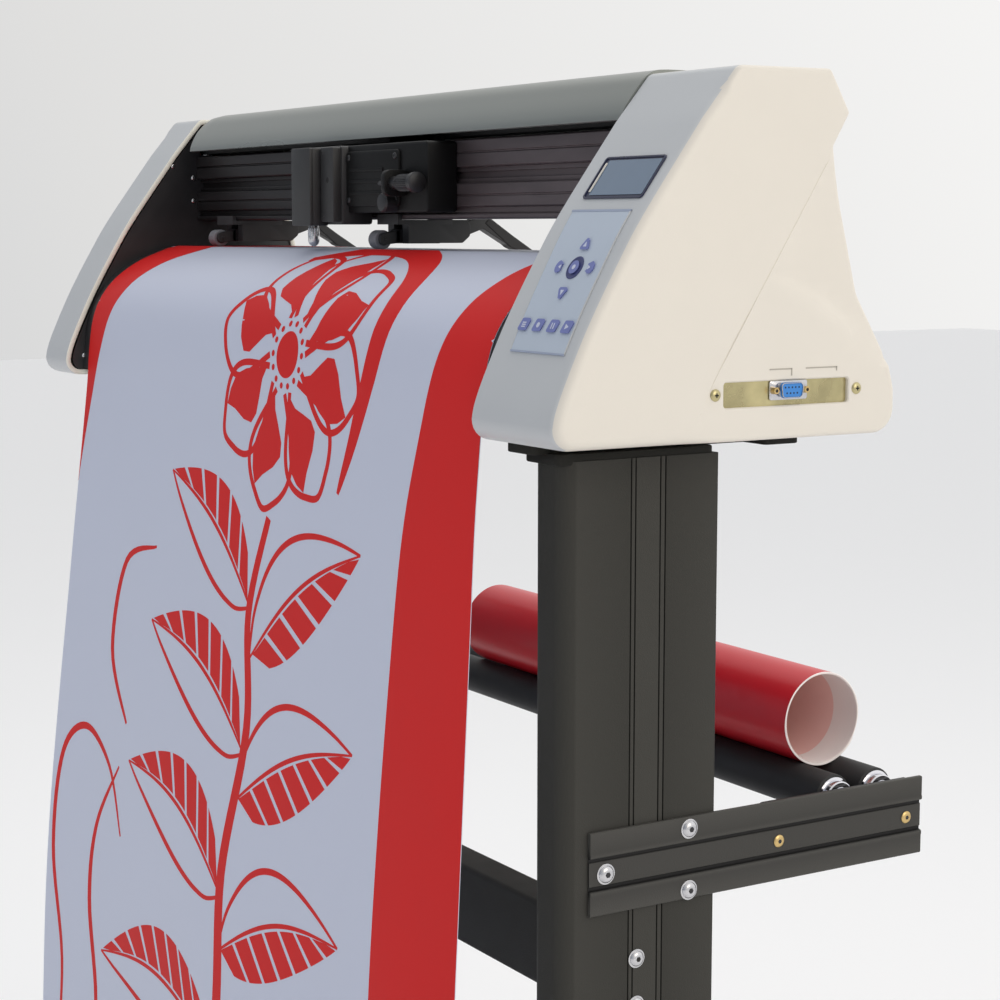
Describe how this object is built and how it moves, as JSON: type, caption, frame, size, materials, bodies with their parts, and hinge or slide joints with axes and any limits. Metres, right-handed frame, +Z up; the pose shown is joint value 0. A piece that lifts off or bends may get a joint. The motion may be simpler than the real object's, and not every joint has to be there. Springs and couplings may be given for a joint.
{
  "type": "vinyl cutting plotter",
  "caption": "Floor-standing vinyl cutting plotter: curved end covers, hood, gantry with carriage, pinch rollers, control panel, column stand on casters and rear roll holder.",
  "frame": {"origin": "on the floor under the middle of the machine's bounding box", "axes": "+X along the machine towards the control-panel end, -Y the operator's side, +Z up"},
  "size_m": [0.88, 0.56, 1.078],
  "materials": {
    "cream_cover": "satin cream moulded plastic",
    "sage_hood": "satin grey-green paint",
    "black_paint": "satin black paint",
    "charcoal_paint": "satin charcoal powder coat",
    "beam_aluminium": "black anodised extrusion",
    "stand_aluminium": "charcoal powder-coated extrusion",
    "bright_steel": "turned steel",
    "zinc_plate": "yellow zinc passivated",
    "black_rubber": "matt rubber",
    "keypad_label": "pale blue-grey membrane",
    "key_blue": "violet-blue rubberised key",
    "display_face": "dark glossy window",
    "board_green": "green solder mask",
    "black_plastic": "satin black plastic",
    "vinyl_film": "white backing with red film graphics",
    "roll_red": "red film outside, white inside",
    "grey_tyre": "grey rubber wheel"
  },
  "bodies": {
    "machine": {"right_cover": "cream_cover", "left_cover": "cream_cover", "right_side_plate": "black_paint", "left_side_plate": "black_paint", "bed": "black_paint", "gantry_beam": "beam_aluminium", "top_cover": "sage_hood", "keypad_overlay": "keypad_label", "lcd_window": "display_face", "io_plate": "zinc_plate", "serial_connector": "bright_steel", "power_inlet": "black_plastic", "circuit_board": "board_green", "feed_motor": "black_paint", "feed_belt": "black_rubber", "carriage_motor": "black_paint", "carriage_belt": "black_rubber", "right_column": "stand_aluminium", "left_column": "stand_aluminium", "crossbar": "stand_aluminium", "right_roll_arm": "stand_aluminium", "left_roll_arm": "stand_aluminium", "right_foot": "charcoal_paint", "left_foot": "charcoal_paint", "vinyl_sheet": "vinyl_film"},
    "carriage": {"carriage_body": "black_plastic", "tool_block": "black_plastic"},
    "pen": {"blade_holder": "bright_steel"},
    "clamp_screw": {"clamp_knob": "bright_steel"},
    "grit": {"grit_shaft": "bright_steel"},
    "motor_pulley": {"feed_motor_pulley": "bright_steel"},
    "drive_wheel": {"drive_pulley": "bright_steel"},
    "idler_wheel": {"idler_pulley": "bright_steel"},
    "media_roll": {"vinyl_roll": "roll_red"},
    "front_roller": {"front_support_roller": "black_rubber"},
    "rear_roller": {"rear_support_roller": "black_rubber"},
    "rocker": {"power_switch": "black_plastic"},
    "left_pinch": {"left_pinch_bracket": "black_paint"},
    "left_arm": {"left_pinch_arm": "black_paint"},
    "left_roller": {"left_pinch_roller": "black_rubber"},
    "right_pinch": {"right_pinch_bracket": "black_paint"},
    "right_arm": {"right_pinch_arm": "black_paint"},
    "right_roller": {"right_pinch_roller": "black_rubber"},
    "key_up": {"key_up": "key_blue"},
    "key_left": {"key_left": "key_blue"},
    "key_centre": {"key_centre": "key_blue"},
    "key_right": {"key_right": "key_blue"},
    "key_down": {"key_down": "key_blue"},
    "key_f1": {"key_f1": "key_blue"},
    "key_f2": {"key_f2": "key_blue"},
    "key_f3": {"key_f3": "key_blue"},
    "key_f4": {"key_f4": "key_blue"},
    "front_right_caster_swivel": {"front_right_caster_fork": "bright_steel"},
    "front_right_caster_roll": {"front_right_caster_wheel": "grey_tyre"},
    "rear_right_caster_swivel": {"rear_right_caster_fork": "bright_steel"},
    "rear_right_caster_roll": {"rear_right_caster_wheel": "grey_tyre"},
    "front_left_caster_swivel": {"front_left_caster_fork": "bright_steel"},
    "front_left_caster_roll": {"front_left_caster_wheel": "grey_tyre"},
    "rear_left_caster_swivel": {"rear_left_caster_fork": "bright_steel"},
    "rear_left_caster_roll": {"rear_left_caster_wheel": "grey_tyre"}
  },
  "joints": [
    {"name": "carriage_slide", "type": "slide", "parent": "machine", "child": "carriage", "axis": [1, 0, 0], "range_m": [-0.285, 0.23]},
    {"name": "pen_lift", "type": "slide", "parent": "carriage", "child": "pen", "axis": [0, 0, 1], "range_m": [-0.0012, 0], "stiffness_N_per_m": 300, "springref_m": 0.0008},
    {"name": "clamp_screw_turn", "type": "hinge", "parent": "carriage", "child": "clamp_screw", "pos_m": [0.0875, -0.018, 1.008], "axis": [1, 0, 0], "continuous": true},
    {"name": "grit_shaft_spin", "type": "hinge", "parent": "machine", "child": "grit", "pos_m": [-0.0025, 0.012, 0.9485], "axis": [1, 0, 0], "continuous": true},
    {"name": "motor_pulley_spin", "type": "hinge", "parent": "machine", "child": "motor_pulley", "pos_m": [0.3575, -0.026, 0.884], "axis": [1, 0, 0], "continuous": true},
    {"name": "drive_pulley_spin", "type": "hinge", "parent": "machine", "child": "drive_wheel", "pos_m": [0.3715, 0.04, 1.046], "axis": [0, 0, 1], "range_deg": [-1700, 1400]},
    {"name": "idler_pulley_spin", "type": "hinge", "parent": "machine", "child": "idler_wheel", "pos_m": [-0.4085, 0.04, 1.046], "axis": [0, 0, 1], "range_deg": [-1700, 1400]},
    {"name": "roll_spin", "type": "hinge", "parent": "machine", "child": "media_roll", "pos_m": [0.1095, 0.189, 0.62179], "axis": [1, 0, 0], "continuous": true},
    {"name": "front_roller_spin", "type": "hinge", "parent": "machine", "child": "front_roller", "pos_m": [-0.0025, 0.17, 0.575], "axis": [1, 0, 0], "continuous": true},
    {"name": "rear_roller_spin", "type": "hinge", "parent": "machine", "child": "rear_roller", "pos_m": [-0.0025, 0.208, 0.575], "axis": [1, 0, 0], "continuous": true},
    {"name": "power_rocker", "type": "hinge", "parent": "machine", "child": "rocker", "pos_m": [0.4075, 0.11728, 0.96436], "axis": [1, 0, 0], "range_deg": [0, 8]},
    {"name": "left_pinch_slide", "type": "slide", "parent": "machine", "child": "left_pinch", "axis": [1, 0, 0], "range_m": [-0.045, 0.12]},
    {"name": "left_pinch_tilt", "type": "hinge", "parent": "left_pinch", "child": "left_arm", "pos_m": [-0.3125, 0.04, 0.97], "axis": [-1, 0, 0], "range_deg": [0, 5]},
    {"name": "left_pinch_spin", "type": "hinge", "parent": "left_arm", "child": "left_roller", "pos_m": [-0.318, 0.012, 0.9651], "axis": [1, 0, 0], "continuous": true},
    {"name": "right_pinch_slide", "type": "slide", "parent": "machine", "child": "right_pinch", "axis": [1, 0, 0], "range_m": [-0.13, 0.3]},
    {"name": "right_pinch_tilt", "type": "hinge", "parent": "right_pinch", "child": "right_arm", "pos_m": [-0.0013, 0.04, 0.97], "axis": [-1, 0, 0], "range_deg": [0, 5]},
    {"name": "right_pinch_spin", "type": "hinge", "parent": "right_arm", "child": "right_roller", "pos_m": [-0.0068, 0.012, 0.9651], "axis": [1, 0, 0], "continuous": true},
    {"name": "key_up_press", "type": "slide", "parent": "machine", "child": "key_up", "axis": [0, 0.8513, -0.5246], "range_m": [0, 0.0004], "stiffness_N_per_m": 800},
    {"name": "key_left_press", "type": "slide", "parent": "machine", "child": "key_left", "axis": [0, 0.8621, -0.5068], "range_m": [0, 0.0004], "stiffness_N_per_m": 800},
    {"name": "key_centre_press", "type": "slide", "parent": "machine", "child": "key_centre", "axis": [0, 0.8621, -0.5068], "range_m": [0, 0.0004], "stiffness_N_per_m": 800},
    {"name": "key_right_press", "type": "slide", "parent": "machine", "child": "key_right", "axis": [0, 0.8621, -0.5068], "range_m": [0, 0.0004], "stiffness_N_per_m": 800},
    {"name": "key_down_press", "type": "slide", "parent": "machine", "child": "key_down", "axis": [0, 0.869, -0.4948], "range_m": [0, 0.0004], "stiffness_N_per_m": 800},
    {"name": "key_f1_press", "type": "slide", "parent": "machine", "child": "key_f1", "axis": [0, 0.8927, -0.4506], "range_m": [0, 0.0004], "stiffness_N_per_m": 800},
    {"name": "key_f2_press", "type": "slide", "parent": "machine", "child": "key_f2", "axis": [0, 0.8927, -0.4506], "range_m": [0, 0.0004], "stiffness_N_per_m": 800},
    {"name": "key_f3_press", "type": "slide", "parent": "machine", "child": "key_f3", "axis": [0, 0.8927, -0.4506], "range_m": [0, 0.0004], "stiffness_N_per_m": 800},
    {"name": "key_f4_press", "type": "slide", "parent": "machine", "child": "key_f4", "axis": [0, 0.8927, -0.4506], "range_m": [0, 0.0004], "stiffness_N_per_m": 800},
    {"name": "front_right_caster_turn", "type": "hinge", "parent": "machine", "child": "front_right_caster_swivel", "pos_m": [0.3712, -0.235, 0.065], "axis": [0, 0, 1], "continuous": true},
    {"name": "front_right_caster_spin", "type": "hinge", "parent": "front_right_caster_swivel", "child": "front_right_caster_roll", "pos_m": [0.3532, -0.235, 0.025], "axis": [0, 1, 0], "continuous": true},
    {"name": "rear_right_caster_turn", "type": "hinge", "parent": "machine", "child": "rear_right_caster_swivel", "pos_m": [0.3712, 0.235, 0.065], "axis": [0, 0, 1], "continuous": true},
    {"name": "rear_right_caster_spin", "type": "hinge", "parent": "rear_right_caster_swivel", "child": "rear_right_caster_roll", "pos_m": [0.3532, 0.235, 0.025], "axis": [0, 1, 0], "continuous": true},
    {"name": "front_left_caster_turn", "type": "hinge", "parent": "machine", "child": "front_left_caster_swivel", "pos_m": [-0.3762, -0.235, 0.065], "axis": [0, 0, 1], "continuous": true},
    {"name": "front_left_caster_spin", "type": "hinge", "parent": "front_left_caster_swivel", "child": "front_left_caster_roll", "pos_m": [-0.3942, -0.235, 0.025], "axis": [0, 1, 0], "continuous": true},
    {"name": "rear_left_caster_turn", "type": "hinge", "parent": "machine", "child": "rear_left_caster_swivel", "pos_m": [-0.3762, 0.235, 0.065], "axis": [0, 0, 1], "continuous": true},
    {"name": "rear_left_caster_spin", "type": "hinge", "parent": "rear_left_caster_swivel", "child": "rear_left_caster_roll", "pos_m": [-0.3942, 0.235, 0.025], "axis": [0, 1, 0], "continuous": true}
  ],
  "couplings": [
    {"joint": "motor_pulley_spin", "follows": "grit_shaft_spin", "ratio": 1.5},
    {"joint": "drive_pulley_spin", "follows": "carriage_slide", "rad_per_m": 101.01},
    {"joint": "idler_pulley_spin", "follows": "carriage_slide", "rad_per_m": 101.01},
    {"joint": "front_roller_spin", "follows": "roll_spin", "ratio": -2.2387},
    {"joint": "rear_roller_spin", "follows": "roll_spin", "ratio": -2.2387}
  ]
}
